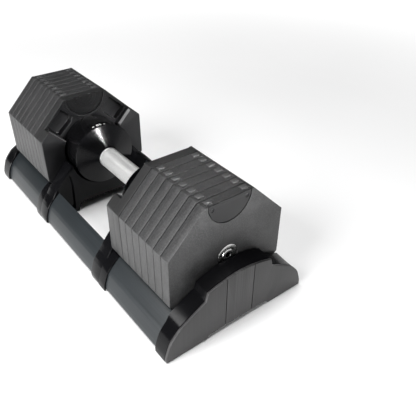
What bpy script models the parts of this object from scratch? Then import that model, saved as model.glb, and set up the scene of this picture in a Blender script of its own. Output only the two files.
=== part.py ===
"""Adjustable dumbbell with a twist handle, standing in its cradle.

Frame: X along the grip, Y across the cradle, +Z up. The origin is on the surface that the
cradle stands on, below the middle of the grip. "near" is the +X half, "far" is the -X half.
Far pieces are near pieces turned half a turn about Z. All sizes are in metres.
"""
import math

import bmesh
import bpy
from mathutils import Matrix, Vector

# Driving dimensions -----------------------------------------------------------------------
GAP = 0.0003                 # clearance between pieces that touch
PAST = 0.001                 # how far a cutter runs past the face it opens
AXIS_Z = 0.0934              # height of the grip's axis

PLATE_HALF = 0.086           # half of the plate's width
PLATE_TOP = 0.1768
PLATE_BOTTOM = 0.009
SHOULDER_Z = 0.1255          # where the upright side meets the upper slope
HIP_Z = 0.0566               # where the upright side meets the lower slope
TOP_HALF = PLATE_HALF - (PLATE_TOP - SHOULDER_Z)
BOTTOM_HALF = PLATE_HALF - (HIP_Z - PLATE_BOTTOM)

PITCH = 0.0152               # one plate and the gap beside it
PLATE_COUNT = 7              # weight plates on each side
PLATE_GAP = 0.0006
PLATE_THICK = PITCH - PLATE_GAP
EAR_X = 0.0996               # front of the housing's ears
HOUSING_X = EAR_X + 0.0156   # front of the housing's plate
STACK_X = HOUSING_X + PITCH  # first weight plate
END_X = STACK_X + PLATE_COUNT * PITCH - PLATE_GAP   # outer face of the last plate

GRIP_R = 0.01605
GRIP_WALL = 0.00145
CONE_TIP_X = 0.0545
CONE_RIM_X = 0.0683
CONE_RIM_R = 0.0491
CONE_BACK_X = 0.0703
DRUM_R = 0.0462
DRUM_END_X = 0.1134
RECESS_R = 0.0468            # round recess in the housing, around the drum
EAR_ARC_R = 0.0525           # inner side of the ears, around the cone
WALL_ARC_R = 0.0524          # dip in the cradle's inner walls, around the drum

ROD_R = 0.0102
ROD_TIP_X = 0.1225
ROD_LENGTH = 0.118
PIN_R = 0.002
PIN_X = 0.0095               # follower pin, from the middle of the grip
CORE_R = 0.0122
SLEEVE_R = 0.0143
TWIST = math.radians(315)    # seven clicks of 45 degrees
ROD_TRAVEL = PLATE_COUNT * PITCH
BORE_R = 0.0115              # hole through each plate for the rod

RAIL_END_X = 0.2581
LEDGE_X = 0.2373             # end ledge of a tray
CAP_X = 0.2587               # inner face of an end cap
CAP_THICK = 0.0035
WALL_X = 0.0752              # inner wall of a tray
WALL_END_X = 0.0984
BAND_END_X = 0.1134
RIDGE_Z = 0.0865             # top of the end cap

ROUND_STEPS = 32
SMALL_STEPS = 24
SCREW_STEPS = 16
WELD = 2e-6                  # corners closer than this are one corner
SHARP_ANGLE = 30             # degrees; edges flatter than this are shaded smooth

HALF_TURN = Matrix.Rotation(math.pi, 4, "Z")
# Local X, Y and Z of an outline or a turned shape become world Y, Z and X.
ALONG_X = Matrix(((0, 0, 1, 0), (1, 0, 0, 0), (0, 1, 0, 0), (0, 0, 0, 1)))


# Scene and materials ----------------------------------------------------------------------
def clear_scene():
    for obj in list(bpy.data.objects):
        bpy.data.objects.remove(obj, do_unlink=True)


def new_collection(name):
    collection = bpy.data.collections.new(name)
    bpy.context.scene.collection.children.link(collection)
    return collection


def material(name, colour, roughness, metallic=0.0):
    mat = bpy.data.materials.new(name)
    mat.use_nodes = True
    shader = mat.node_tree.nodes["Principled BSDF"]
    shader.inputs["Base Color"].default_value = (*colour, 1.0)
    shader.inputs["Roughness"].default_value = roughness
    shader.inputs["Metallic"].default_value = metallic
    return mat


clear_scene()
PARTS = new_collection("adjustable_dumbbell")

PLATE_PAINT = material("plate_coating", (0.062, 0.062, 0.066), 0.55)
HOUSING_PLASTIC = material("housing_plastic", (0.035, 0.035, 0.038), 0.5)
GLOSS_BLACK = material("gloss_black_plastic", (0.012, 0.012, 0.013), 0.15)
DARK_RECESS = material("inner_plastic", (0.02, 0.02, 0.022), 0.6)
RAIL_FINISH = material("rail_anodised", (0.06, 0.068, 0.073), 0.35, 0.4)
CAP_PLASTIC = material("cap_plastic", (0.1, 0.098, 0.1), 0.4)
RUBBER = material("foot_rubber", (0.02, 0.02, 0.02), 0.9)
GRIP_STEEL = material("knurled_steel", (0.75, 0.75, 0.74), 0.35, 1.0)
STEEL = material("machined_steel", (0.55, 0.55, 0.56), 0.3, 1.0)
SPRING_STEEL = material("spring_steel", (0.4, 0.4, 0.41), 0.35, 1.0)


# Solid makers -----------------------------------------------------------------------------
def add_object(name, mesh, matrix=None, mat=None):
    obj = bpy.data.objects.new(name, mesh)
    PARTS.objects.link(obj)
    if matrix is not None:
        obj.matrix_world = matrix
    if mat is not None:
        mesh.materials.clear()
        mesh.materials.append(mat)
    return obj


def shade(obj):
    """Smooth shading on round faces, with the real edges kept sharp."""
    obj.data.shade_smooth()
    obj.data.set_sharp_from_angle(angle=math.radians(SHARP_ANGLE))


def baked(obj):
    """Give the object the mesh that its modifiers make, and drop the modifiers."""
    bpy.context.view_layer.update()
    graph = bpy.context.evaluated_depsgraph_get()
    mesh = bpy.data.meshes.new_from_object(obj.evaluated_get(graph))
    old = obj.data
    shape = bmesh.new()
    shape.from_mesh(mesh)
    bmesh.ops.remove_doubles(shape, verts=shape.verts, dist=WELD)
    shape.to_mesh(mesh)
    shape.free()
    obj.modifiers.clear()
    obj.data = mesh
    if old.users == 0 and isinstance(old, bpy.types.Mesh):
        bpy.data.meshes.remove(old)
    return obj


def drop(obj):
    bpy.data.objects.remove(obj, do_unlink=True)


def combine(target, tool, operation):
    """Cut or join one solid with another, which is used up."""
    change = target.modifiers.new(operation.lower(), "BOOLEAN")
    change.operation = operation
    change.solver = "EXACT"
    change.object = tool
    baked(target)
    drop(tool)
    return target


def cut(target, *tools):
    for tool in tools:
        combine(target, tool, "DIFFERENCE")
    return target


def join(target, *tools):
    for tool in tools:
        combine(target, tool, "UNION")
    return target


def bevel(obj, width, segments=1, angle=30):
    edge = obj.modifiers.new("edge", "BEVEL")
    edge.width = width
    edge.segments = segments
    edge.limit_method = "ANGLE"
    edge.angle_limit = math.radians(angle)
    return baked(obj)


def prism(name, loops, x_low, x_high, mat=None):
    """Closed outlines in the YZ plane, the later ones as holes, extruded along X."""
    curve = bpy.data.curves.new(name, "CURVE")
    curve.dimensions = "2D"
    curve.fill_mode = "BOTH"
    curve.extrude = (x_high - x_low) / 2
    for loop in loops:
        spline = curve.splines.new("POLY")
        spline.points.add(len(loop) - 1)
        for point, (y, z) in zip(spline.points, loop):
            point.co = (y, z, 0, 1)
        spline.use_cyclic_u = True
    drawn = bpy.data.objects.new(name + "_outline", curve)
    PARTS.objects.link(drawn)
    drawn.matrix_world = Matrix.Translation(((x_low + x_high) / 2, 0, 0)) @ ALONG_X
    bpy.context.view_layer.update()
    graph = bpy.context.evaluated_depsgraph_get()
    mesh = bpy.data.meshes.new_from_object(drawn.evaluated_get(graph))
    shape = bmesh.new()
    shape.from_mesh(mesh)
    bmesh.ops.remove_doubles(shape, verts=shape.verts, dist=WELD)
    shape.to_mesh(mesh)
    shape.free()
    obj = add_object(name, mesh, drawn.matrix_world.copy(), mat)
    drop(drawn)
    bpy.data.curves.remove(curve)
    return obj


def turned(name, profile, mat=None, steps=ROUND_STEPS, centre=(0, 0, AXIS_Z)):
    """A closed profile of (x, radius) points, turned about an axis along X."""
    mesh = bpy.data.meshes.new(name)
    shape = bmesh.new()
    corners = [shape.verts.new((radius, 0, x)) for x, radius in profile]
    for first, second in zip(corners, corners[1:] + corners[:1]):
        shape.edges.new((first, second))
    shape.to_mesh(mesh)
    shape.free()
    obj = add_object(name, mesh, Matrix.Translation(centre) @ ALONG_X, mat)
    turn = obj.modifiers.new("turn", "SCREW")
    turn.steps = steps
    turn.render_steps = steps
    turn.use_merge_vertices = True
    turn.merge_threshold = 1e-5
    baked(obj)
    point_outwards(obj)
    return obj


def point_outwards(obj):
    shape = bmesh.new()
    shape.from_mesh(obj.data)
    bmesh.ops.recalc_face_normals(shape, faces=shape.faces)
    shape.to_mesh(obj.data)
    shape.free()


def ring(name, x_low, x_high, r_in, r_out, mat=None, steps=ROUND_STEPS, centre=(0, 0, AXIS_Z)):
    """A tube about an axis along X."""
    profile = [(x_low, r_in), (x_high, r_in), (x_high, r_out), (x_low, r_out)]
    return turned(name, profile, mat, steps, centre)


def rod(name, start, end, radius, mat=None, steps=SMALL_STEPS):
    """A solid cylinder between two points."""
    start, end = Vector(start), Vector(end)
    along = end - start
    bpy.ops.mesh.primitive_cylinder_add(vertices=steps, radius=radius, depth=along.length)
    return placed_primitive(name, Matrix.Translation((start + end) / 2)
                            @ along.to_track_quat("Z", "Y").to_matrix().to_4x4(), mat)


def block(name, x, y, z, mat=None):
    """A box between the low and high limits given for each axis."""
    bpy.ops.mesh.primitive_cube_add(size=1)
    size = Matrix.Diagonal((x[1] - x[0], y[1] - y[0], z[1] - z[0], 1))
    bpy.context.object.data.transform(size)
    centre = (sum(x) / 2, sum(y) / 2, sum(z) / 2)
    return placed_primitive(name, Matrix.Translation(centre), mat)


def placed_primitive(name, matrix, mat):
    obj = bpy.context.object
    obj.name = name
    obj.data.name = name
    for collection in list(obj.users_collection):
        collection.objects.unlink(obj)
    PARTS.objects.link(obj)
    obj.matrix_world = matrix
    if mat is not None:
        obj.data.materials.append(mat)
    return obj


def far_twin(obj, name):
    """The same mesh on the far side."""
    twin = bpy.data.objects.new(name, obj.data)
    PARTS.objects.link(twin)
    twin.matrix_world = HALF_TURN @ obj.matrix_world
    return twin


def both_sides(obj):
    """Name the near piece and add its far twin."""
    base = obj.name
    obj.name = base + "_near"
    return obj, far_twin(obj, base + "_far")


def mirrored(half):
    """A half outline from the bottom up at +Y, closed with its mirror image at -Y."""
    other = [(-y, z) for y, z in reversed(half) if abs(y) > WELD]
    return half + other


def arc(centre, radius, start, end, count):
    """Points on an arc, angles in degrees from +Y towards +Z."""
    points = []
    for step in range(count + 1):
        angle = math.radians(start + (end - start) * step / count)
        points.append((centre[0] + radius * math.cos(angle), centre[1] + radius * math.sin(angle)))
    return points


def offset(loop, distance):
    """A closed outline moved sideways by distance, outwards where it is positive."""
    area = sum(a[0] * b[1] - b[0] * a[1] for a, b in zip(loop, loop[1:] + loop[:1]))
    side = distance if area > 0 else -distance
    moved = []
    for before, here, after in zip(loop[-1:] + loop[:-1], loop, loop[1:] + loop[:1]):
        first = Vector((here[0] - before[0], here[1] - before[1])).normalized()
        second = Vector((after[0] - here[0], after[1] - here[1])).normalized()
        out_first = Vector((first.y, -first.x))
        out_second = Vector((second.y, -second.x))
        mitre = (out_first + out_second) / (1 + out_first.dot(out_second))
        moved.append((here[0] + side * mitre.x, here[1] + side * mitre.y))
    return moved


# Shared outlines --------------------------------------------------------------------------
OCTAGON = mirrored([(BOTTOM_HALF, PLATE_BOTTOM), (PLATE_HALF, HIP_Z),
                    (PLATE_HALF, SHOULDER_Z), (TOP_HALF, PLATE_TOP)])

BADGE_R = 0.032
BADGE_DEPTH = 0.0016
COLLAR_R = 0.036


def half_disc(radius, above=0.0):
    """A half disc that hangs from the plate's top edge, or runs on above it."""
    if not above:
        return arc((0, PLATE_TOP), radius, 181, 359, SMALL_STEPS)
    corners = [(radius, PLATE_TOP + above), (-radius, PLATE_TOP + above)]
    return arc((0, PLATE_TOP), radius, 180, 360, SMALL_STEPS) + corners


# Flank of the cradle, from the floor up to where the end ledge and the inner wall part.
FLANK = [(0.1103, 0.001), (0.1103, 0.007), (0.1076, 0.017), (0.1039, 0.027), (0.0973, 0.0363)]
FOOT_IN = 0.053


# Cradle -----------------------------------------------------------------------------------
RAIL_SKIN = [(0.0808, 0.0025), (0.1079, 0.0025), (0.1079, 0.007), (0.1052, 0.0171),
             (0.1015, 0.0265), (0.095, 0.0349), (0.0875, 0.0423), (0.0808, 0.0482)]
RAIL_WALL = 0.0022


def make_rails():
    left = [(-y, z) for y, z in RAIL_SKIN]
    for name, skin in (("rail_left", left), ("rail_right", RAIL_SKIN)):
        prism(name, [skin, offset(skin, -RAIL_WALL)], -RAIL_END_X, RAIL_END_X, RAIL_FINISH)


def end_outline():
    """The end ledge and end cap: feet, arch, shoulders, step and crown."""
    arch = [(0.0, 0.0066), (0.044, 0.0062), (FOOT_IN, 0.001)]
    shoulder = [(0.0895, 0.0446), (0.083, 0.0483), (0.0525, 0.0655)]
    crown = [(0.0495, 0.0775), (0.024, 0.0840), (0.0, RIDGE_Z)]
    return mirrored(arch + FLANK + shoulder + crown)


def wall_outline():
    """The inner wall: feet, arch, flanks and a round dip for the drum."""
    arch = [(0.0, 0.0164), (0.043, 0.016), (0.049, 0.0132), (FOOT_IN, 0.001)]
    flank = [(0.088, 0.0486), (0.0784, 0.0605), (0.0565, 0.0848), (0.054, 0.0856)]
    dip = arc((0, AXIS_Z), WALL_ARC_R, -9, -90, 12)
    return mirrored(arch + FLANK + flank + dip)


FLOOR_TOP = PLATE_BOTTOM - GAP
FLOOR_THICK = 0.0032
TROUGH_HALF = 0.0392
TROUGH_TOP = 0.0486


def trough_outline():
    """The tray's floor and its sloped sides below the plates."""
    reach = TROUGH_HALF + TROUGH_TOP - FLOOR_TOP
    slope = FLOOR_THICK * math.sqrt(2)
    return mirrored([(TROUGH_HALF + 0.0013, FLOOR_TOP - FLOOR_THICK), (reach, TROUGH_TOP - slope),
                     (reach, TROUGH_TOP), (TROUGH_HALF, FLOOR_TOP)])


FOOT_SIZE = (0.016, 0.018)
FOOT_Y = 0.067
FOOT_X = LEDGE_X + 0.0105
FOOT_TOP = 0.0025


def foot_limits(x, y, grow=0.0):
    half_x, half_y = FOOT_SIZE[0] / 2 + grow, FOOT_SIZE[1] / 2 + grow
    return (x - half_x, x + half_x), (y - half_y, y + half_y)


TRAY_SKIN = 0.003
BAND_IN = 0.0785             # inner side of the band, beside the rail
BAND_LAP = 0.001             # how far the tray's parts run into each other
# Hollow inside each leg of the inner wall, open below.
WALL_HOLLOW = [(0.057, -PAST), (0.076, -PAST), (0.076, 0.056), (0.057, 0.078)]
CHANNEL_OPEN_Z = 0.005       # the rail's channel is open below this height


def make_tray():
    """Inner wall, band, trough and end ledge as one moulding, hollow from below and behind."""
    tray = prism("tray", [wall_outline()], WALL_X, WALL_END_X, GLOSS_BLACK)
    band = FLANK + [(0.0895, 0.0446), (0.083, 0.0483), (BAND_IN, 0.0478), (BAND_IN, 0.001)]
    for side in (1, -1):
        outline = [(side * y, z) for y, z in band]
        join(tray, prism("band", [outline], WALL_END_X - BAND_LAP, BAND_END_X))
    join(tray, prism("trough", [trough_outline()], WALL_END_X - 2 * BAND_LAP, LEDGE_X + BAND_LAP))
    join(tray, prism("ledge", [end_outline()], LEDGE_X, CAP_X - GAP))
    hollow = offset(end_outline(), -TRAY_SKIN)
    cut(tray, prism("ledge_hollow", [hollow], LEDGE_X + TRAY_SKIN, CAP_X + TRAY_SKIN))
    for side in (1, -1):
        channel = [(side * y, z) for y, z in offset(RAIL_SKIN, GAP)]
        deep = [(y, z if z > CHANNEL_OPEN_Z else -PAST) for y, z in channel]
        cut(tray, prism("channel", [deep], WALL_X - PAST, CAP_X + PAST))
        pocket = [(side * y, z) for y, z in WALL_HOLLOW]
        cut(tray, prism("wall_hollow", [pocket], WALL_X + TRAY_SKIN, WALL_END_X - TRAY_SKIN))
        x, y = foot_limits(FOOT_X, side * FOOT_Y, GAP)
        cut(tray, block("foot_seat", x, y, (-PAST, FOOT_TOP + GAP)))
    return both_sides(tray)


GROOVE_Y = 0.0216
GROOVE_WIDTH = 0.0012
GROOVE_DEPTH = 0.0009


def make_end_cap():
    cap = prism("end_cap", [end_outline()], CAP_X, CAP_X + CAP_THICK, CAP_PLASTIC)
    outer = CAP_X + CAP_THICK
    for side in (1, -1):
        middle = side * GROOVE_Y
        cut(cap, block("groove", (outer - GROOVE_DEPTH, outer + PAST),
                       (middle - GROOVE_WIDTH / 2, middle + GROOVE_WIDTH / 2),
                       (-PAST, RIDGE_Z + PAST)))
    return both_sides(cap)


FOOT_CHAMFER = 0.0006


def make_feet():
    """Rubber feet let into the undersides of the end ledges."""
    for y_name, side in (("left", -1), ("right", 1)):
        x, y = foot_limits(FOOT_X, side * FOOT_Y)
        outer = block("foot_" + y_name, x, y, (0.0, FOOT_TOP), RUBBER)
        bevel(outer, FOOT_CHAMFER)
        outer.name = "foot_%s_near" % y_name
        far_name = {"left": "right", "right": "left"}[y_name]
        far_twin(outer, "foot_%s_far" % far_name)


POST_R = 0.0018
POST_TOP = 0.014
LOCK_X = 0.1235              # middle of the lock slide


def make_release_post():
    base = (LOCK_X, 0, FLOOR_TOP + GAP)
    return both_sides(rod("release_post", base, (LOCK_X, 0, POST_TOP), POST_R, STEEL, SCREW_STEPS))


# Weight plates ----------------------------------------------------------------------------
PLATE_EDGE = 0.0007


def plate_blank(name, x_low):
    blank = prism(name, [OCTAGON], x_low, x_low + PLATE_THICK, PLATE_PAINT)
    return bevel(blank, PLATE_EDGE)


def bore(x_low, x_high, radius, steps=SMALL_STEPS):
    return rod("bore", (x_low, 0, AXIS_Z), (x_high, 0, AXIS_Z), radius, steps=steps)


BUSH_R = 0.0132
BUSH_END_X = END_X - 0.0046
SEAT_X = END_X - 0.0032      # floor of the end bolt's counterbore
BOLT_SHANK_R = 0.004
WASHER_R = 0.0147
BUSH_FLOOR = 0.002           # the bush's floor, which the end bolt goes through
BUSH_INSET = 0.0004
BADGE_OPEN = 0.002           # how far a badge's seat runs out of the plate's top
SCREW_SPOT = (0.0253, 0.169)
SCREW_R = 0.0018
HEX_R = 0.0046               # corners of the end bolt's hex socket
HEX_DEPTH = 0.0025


def make_plates():
    """Plates 1 to 6 share one mesh on each side; plate 7 is the end plate."""
    first = plate_blank("plate_near_1", STACK_X)
    cut(first, bore(STACK_X - PAST, STACK_X + PITCH, BORE_R))
    far_twin(first, "plate_far_1")
    for index in range(1, PLATE_COUNT - 1):
        near = bpy.data.objects.new("plate_near_%d" % (index + 1), first.data)
        PARTS.objects.link(near)
        near.matrix_world = Matrix.Translation((index * PITCH, 0, 0)) @ first.matrix_world
        far_twin(near, "plate_far_%d" % (index + 1))
    last_x = STACK_X + (PLATE_COUNT - 1) * PITCH
    last = plate_blank("plate_near_7", last_x)
    cut(last,
        bore(last_x - PAST, BUSH_END_X + GAP, BUSH_R + GAP),
        bore(last_x, END_X + PAST, BOLT_SHANK_R + GAP, SCREW_STEPS),
        bore(SEAT_X, END_X + PAST, WASHER_R + 0.0005),
        prism("badge_seat", [half_disc(BADGE_R, BADGE_OPEN)], END_X - BADGE_DEPTH, END_X + PAST))
    far_twin(last, "plate_far_7")


def make_end_fittings():
    """Catch bush and bolt in the end plate's middle, badge and screws at its top."""
    last_x = STACK_X + (PLATE_COUNT - 1) * PITCH
    start_x = last_x + BUSH_INSET
    floor_x = BUSH_END_X - BUSH_FLOOR
    hole_r = BOLT_SHANK_R + GAP
    profile = [(start_x, BORE_R), (floor_x, BORE_R), (floor_x, hole_r),
               (BUSH_END_X, hole_r), (BUSH_END_X, BUSH_R), (start_x, BUSH_R)]
    both_sides(turned("end_bush", profile, STEEL, SMALL_STEPS))
    washer_x = SEAT_X + GAP
    shank_x = floor_x + 0.0002
    # The first points are the middle of the head, the next its dome, then the washer.
    profile = [(shank_x, 0.0), (END_X - 0.0009, 0.0), (END_X - 0.0009, 0.0042),
               (END_X + 0.0004, 0.0042), (END_X + 0.0003, 0.006), (END_X - 0.0008, 0.0082),
               (END_X - 0.0017, 0.009), (END_X - 0.0017, 0.0141), (END_X - 0.0022, WASHER_R),
               (washer_x, WASHER_R), (washer_x, BOLT_SHANK_R), (shank_x, BOLT_SHANK_R)]
    head = turned("end_bolt", profile, STEEL, SMALL_STEPS)
    low, high = (END_X - HEX_DEPTH, 0, AXIS_Z), (END_X + PAST, 0, AXIS_Z)
    cut(head, rod("hex_socket", low, high, HEX_R, steps=6))
    both_sides(head)
    seat_x = END_X - BADGE_DEPTH + GAP
    face_x = END_X - GAP
    badge = prism("end_badge", [half_disc(BADGE_R - GAP)], seat_x, face_x, HOUSING_PLASTIC)
    for side, name in ((-1, "left"), (1, "right")):
        spot = (side * SCREW_SPOT[0], SCREW_SPOT[1])
        low, high = (seat_x - PAST, *spot), (END_X + PAST, *spot)
        cut(badge, rod("screw_hole", low, high, SCREW_R + GAP, steps=SCREW_STEPS))
        screw = rod("badge_screw_%s_near" % name, (seat_x, *spot), (face_x, *spot), SCREW_R,
                    STEEL, SCREW_STEPS)
        far_name = {"left": "right", "right": "left"}[name]
        far_twin(screw, "badge_screw_%s_far" % far_name)
    both_sides(badge)


# Handle unit ------------------------------------------------------------------------------
HOUSING_BACK_X = HOUSING_X + PLATE_THICK
RECESS_FLOOR_X = HOUSING_BACK_X - 0.003
DIAGONAL = math.sqrt(0.5)
EAR_ALONG = 0.051            # from the top corner down the slope to the ear
TAIL_HALF = 0.006
LOCK_HALF = 0.0013
COLLAR_STAND = 0.0012        # how far the badge's collar stands out of the housing
HUB_GAP = 0.0004             # running clearance between turning pieces
# Corners of the moulded pocket under each upper slope, as (down the slope, under it).
POCKET = [(0.014, 0.0045), (0.0495, 0.0045), (0.0495, 0.0305), (0.014, 0.0305)]
POCKET_DEPTH = 0.010
TAIL_SLOT_TOP = AXIS_Z - 0.04


def on_slope(along, inward):
    """A point given by its run down the upper +Y slope and its depth under it."""
    y = TOP_HALF + (along - inward) * DIAGONAL
    z = PLATE_TOP - (along + inward) * DIAGONAL
    return y, z


def ear_outline():
    """Follows the plate's flank outside and a circle round the cone inside."""
    top_in = on_slope(EAR_ALONG, 0.0318)
    start = math.degrees(math.atan2(top_in[1] - AXIS_Z, top_in[0]))
    inner = arc((0, AXIS_Z), EAR_ARC_R, start, -52, 12)
    chamfer_low = (PLATE_HALF - 0.0255, HIP_Z - 0.0255)
    flank = [chamfer_low, (PLATE_HALF, HIP_Z), (PLATE_HALF, SHOULDER_Z)]
    return [on_slope(EAR_ALONG, 0)] + inner + flank


def make_housing():
    housing = prism("housing", [OCTAGON], HOUSING_X, HOUSING_BACK_X, HOUSING_PLASTIC)
    bevel(housing, PLATE_EDGE)
    collar = arc((0, PLATE_TOP), COLLAR_R, 182, 358, SMALL_STEPS)
    collar += [(y, z) for y, z in reversed(arc((0, PLATE_TOP), BADGE_R, 182, 358, SMALL_STEPS))]
    join(housing, prism("collar", [collar], HOUSING_X - COLLAR_STAND, HOUSING_X + PAST))
    for side in (1, -1):
        ear = [(side * y, z) for y, z in ear_outline()]
        join(housing, prism("ear", [ear], EAR_X, HOUSING_X + PAST))
        pocket = [on_slope(along, inward) for along, inward in POCKET]
        pocket = [(side * y, z) for y, z in pocket]
        cut(housing, prism("pocket", [pocket], HOUSING_X - 2 * PAST, HOUSING_X + POCKET_DEPTH))
    slot_half = TAIL_HALF + 2 * HUB_GAP
    cut(housing,
        bore(HOUSING_X - PAST, RECESS_FLOOR_X, RECESS_R, ROUND_STEPS),
        bore(HOUSING_X, HOUSING_BACK_X + PAST, CORE_R + GAP),
        prism("badge_seat", [half_disc(BADGE_R, BADGE_OPEN)],
              HOUSING_X - 2 * PAST, HOUSING_X + BADGE_DEPTH),
        block("tail_slot", (LOCK_X - LOCK_HALF - 2 * HUB_GAP, LOCK_X + LOCK_HALF + 2 * HUB_GAP),
              (-slot_half, slot_half), (0.0, TAIL_SLOT_TOP)))
    both_sides(housing)
    face_x = HOUSING_X + BADGE_DEPTH - GAP
    both_sides(prism("top_badge", [half_disc(BADGE_R - GAP)], HOUSING_X + 0.0001, face_x,
                     HOUSING_PLASTIC))
    both_sides(ring("bearing_plate", HOUSING_X - COLLAR_STAND, HOUSING_X + COLLAR_STAND,
                    SLEEVE_R + HUB_GAP, RECESS_R - HUB_GAP, DARK_RECESS))


PIN_SLOT = (0.0065, 0.119)   # ends of a follower pin's slot, from the middle of the grip
PIN_PLAY = 0.0005


def make_core_tube():
    """Fixed tube that carries both housings, with a straight slot for each follower pin."""
    reach = HOUSING_BACK_X - GAP
    tube = ring("core_tube", -reach, reach, ROD_R + HUB_GAP, CORE_R, STEEL, SMALL_STEPS)
    half = PIN_R + PIN_PLAY
    for side in (1, -1):
        x = sorted(side * end for end in PIN_SLOT)
        z = sorted((AXIS_Z + side * 0.006, AXIS_Z + side * (CORE_R + 0.0038)))
        cut(tube, block("pin_slot", x, (-half, half), z))


SPRING_TURNS = 4
SPRING_POINTS = 8            # for each turn
SPRING_Y = -0.014
SPRING_Z = (AXIS_Z + 0.0232, AXIS_Z + 0.0425)
COIL_R = 0.0019
WIRE_R = 0.0004


def make_lock_spring():
    """Coil above the lock slide, pressing it down."""
    low, high = SPRING_Z
    count = SPRING_TURNS * SPRING_POINTS
    curve = bpy.data.curves.new("lock_spring", "CURVE")
    curve.dimensions = "3D"
    curve.bevel_depth = WIRE_R
    curve.bevel_resolution = 1
    curve.use_fill_caps = True
    spline = curve.splines.new("POLY")
    spline.points.add(count)
    for step, point in enumerate(spline.points):
        angle = 2 * math.pi * step / SPRING_POINTS
        z = low + (high - low) * step / count
        point.co = (LOCK_X + COIL_R * math.cos(angle), SPRING_Y + COIL_R * math.sin(angle), z, 1)
    drawn = bpy.data.objects.new("lock_spring_wire", curve)
    PARTS.objects.link(drawn)
    bpy.context.view_layer.update()
    graph = bpy.context.evaluated_depsgraph_get()
    mesh = bpy.data.meshes.new_from_object(drawn.evaluated_get(graph))
    shape = bmesh.new()
    shape.from_mesh(mesh)
    bmesh.ops.remove_doubles(shape, verts=shape.verts, dist=WELD)
    bmesh.ops.recalc_face_normals(shape, faces=shape.faces)
    shape.to_mesh(mesh)
    shape.free()
    coil = add_object("lock_spring", mesh, drawn.matrix_world.copy(), SPRING_STEEL)
    drop(drawn)
    both_sides(coil)


INDEX_R = 0.038
INDEX_X = (0.1172, 0.1208)   # the index disc's faces
NOTCH_R = 0.0045
NOTCH_STEPS = 10
CLICKS = 8                   # in a full turn
LOCK_TRAVEL = 0.0048
LOCK_RING = (0.018, 0.024)   # inner and outer radius of the lock slide's ring
TOOTH_R = 0.0025
TOOTH_X = 0.1176
ARM_HALF = 0.005


def make_lock_slide():
    """Ring round the sleeve with a tooth above the index disc and a tail down to the post."""
    middle = AXIS_Z + LOCK_TRAVEL / 2
    low, high = LOCK_X - LOCK_HALF, LOCK_X + LOCK_HALF
    slide = ring("lock_slide", low, high, *LOCK_RING, STEEL, centre=(0, 0, middle))
    ring_middle = sum(LOCK_RING) / 2
    tooth_z = AXIS_Z + INDEX_R + TOOTH_R + 0.001
    join(slide,
         block("arm", (low + 1e-4, high - 1e-4), (-ARM_HALF, ARM_HALF),
               (middle + ring_middle, tooth_z + TOOTH_R + 0.0005)),
         block("tail", (low + 2e-4, high - 2e-4), (-TAIL_HALF, TAIL_HALF),
               (POST_TOP + GAP, middle - ring_middle + 0.0005)),
         rod("tooth", (TOOTH_X, 0, tooth_z), (high - 3e-4, 0, tooth_z), TOOTH_R, steps=SCREW_STEPS))
    return both_sides(slide)


# Twisting grip ----------------------------------------------------------------------------
DRUM_WEB = 0.0028
DRUM_WALL = 0.003


def make_grip():
    ring("grip_tube", -CONE_BACK_X, CONE_BACK_X, GRIP_R - GRIP_WALL, GRIP_R, GRIP_STEEL)
    inner = GRIP_R + GAP
    # From the grip out along the cone's hollow back, round its rim and down its face.
    profile = [(CONE_TIP_X, inner), (CONE_BACK_X, inner), (CONE_BACK_X, 0.0205),
               (0.0622, 0.0205), (0.0695, 0.0435), (CONE_BACK_X, 0.0445),
               (CONE_BACK_X, CONE_RIM_R - 0.0004), (CONE_BACK_X - 0.0004, CONE_RIM_R),
               (CONE_RIM_X + 0.0003, CONE_RIM_R), (CONE_RIM_X - 0.0004, CONE_RIM_R - 0.0008),
               (CONE_TIP_X + 0.0003, inner + 0.0009)]
    both_sides(turned("cone", profile, GLOSS_BLACK))
    web_x = CONE_BACK_X + GAP
    web_end_x = web_x + DRUM_WEB
    hub_r = SLEEVE_R + HUB_GAP
    wall_r = DRUM_R - DRUM_WALL
    profile = [(web_x, hub_r), (web_end_x, hub_r), (web_end_x, wall_r), (DRUM_END_X, wall_r),
               (DRUM_END_X, DRUM_R), (web_x, DRUM_R)]
    both_sides(turned("dial_drum", profile, GLOSS_BLACK))
    disc = ring("index_disc", *INDEX_X, SLEEVE_R + GAP, INDEX_R, STEEL)
    for click in range(CLICKS):
        angle = math.radians(90 + 360 / CLICKS * click)
        spot = (INDEX_R * math.cos(angle), AXIS_Z + INDEX_R * math.sin(angle))
        low, high = (INDEX_X[0] - PAST, *spot), (INDEX_X[1] + PAST, *spot)
        cut(disc, rod("notch", low, high, NOTCH_R, steps=NOTCH_STEPS))
    both_sides(disc)


HELIX_STEPS = 30
HELIX_SPARE = math.radians(11)      # extra turn at each end of a slot
HELIX_HALF = 0.0042                 # half of a slot's width along X
HELIX_R = (0.0119, 0.0153)          # a slot's cutter, from inside the sleeve to outside it


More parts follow.
